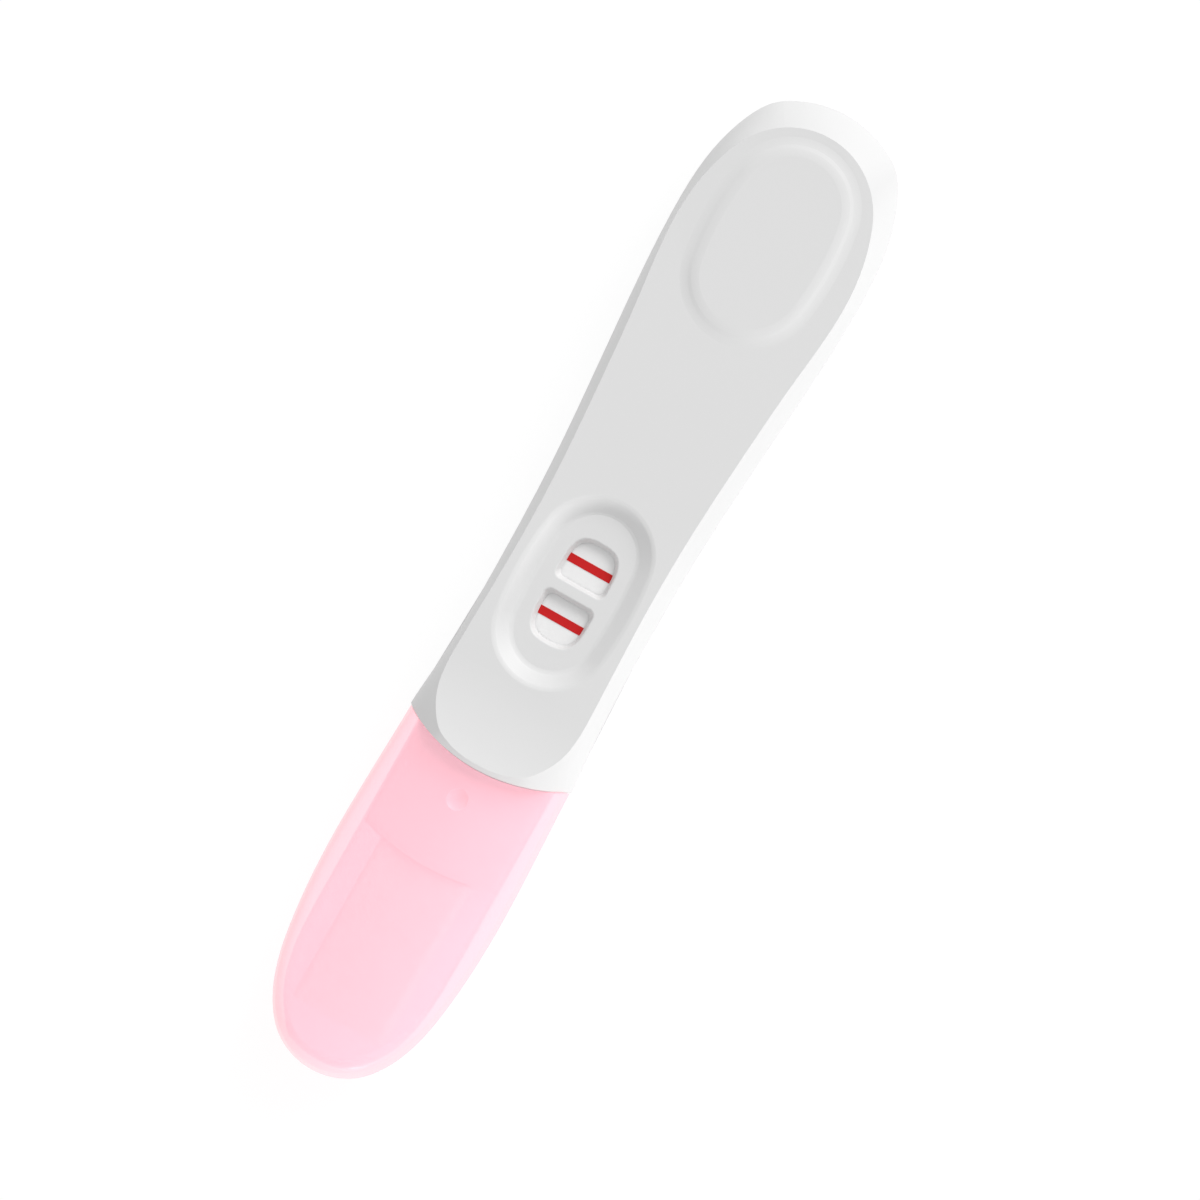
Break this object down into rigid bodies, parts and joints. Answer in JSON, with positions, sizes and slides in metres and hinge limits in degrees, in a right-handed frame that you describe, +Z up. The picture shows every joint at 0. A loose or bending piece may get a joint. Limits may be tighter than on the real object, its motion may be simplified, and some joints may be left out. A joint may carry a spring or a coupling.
{
  "type": "midstream lateral flow test stick",
  "caption": "Slim plastic test stick with a dumbbell-shaped holder, a recessed result window, a raised thumb pad and a translucent pull-off cap over an absorbent tip.",
  "frame": {"origin": "middle of the stick's box, on the surface that it rests on", "axes": "+Y along the stick towards the handle end, +X across it, +Z up out of the window side"},
  "size_m": [0.0232, 0.12, 0.0097],
  "materials": {
    "holder": "satin moulded",
    "cap": "translucent moulded",
    "wick": "bonded fibre",
    "card": "smooth",
    "membrane": "fine porous",
    "dye_pad": "glass fibre",
    "film": "clear",
    "result_line": "dye"
  },
  "bodies": {
    "stick": {"upper_shell": "holder", "lower_shell": "holder", "absorbent_wick": "wick", "backing_card": "card", "membrane": "membrane", "conjugate_pad": "dye_pad", "sink_pad": "wick", "cover_film": "film", "test_line": "result_line", "control_line": "result_line"},
    "cap": {"cap": "cap"}
  },
  "joints": [
    {"name": "cap_pull", "type": "slide", "parent": "stick", "child": "cap", "axis": [0, -1, 0], "range_m": [0, 0.045]}
  ]
}
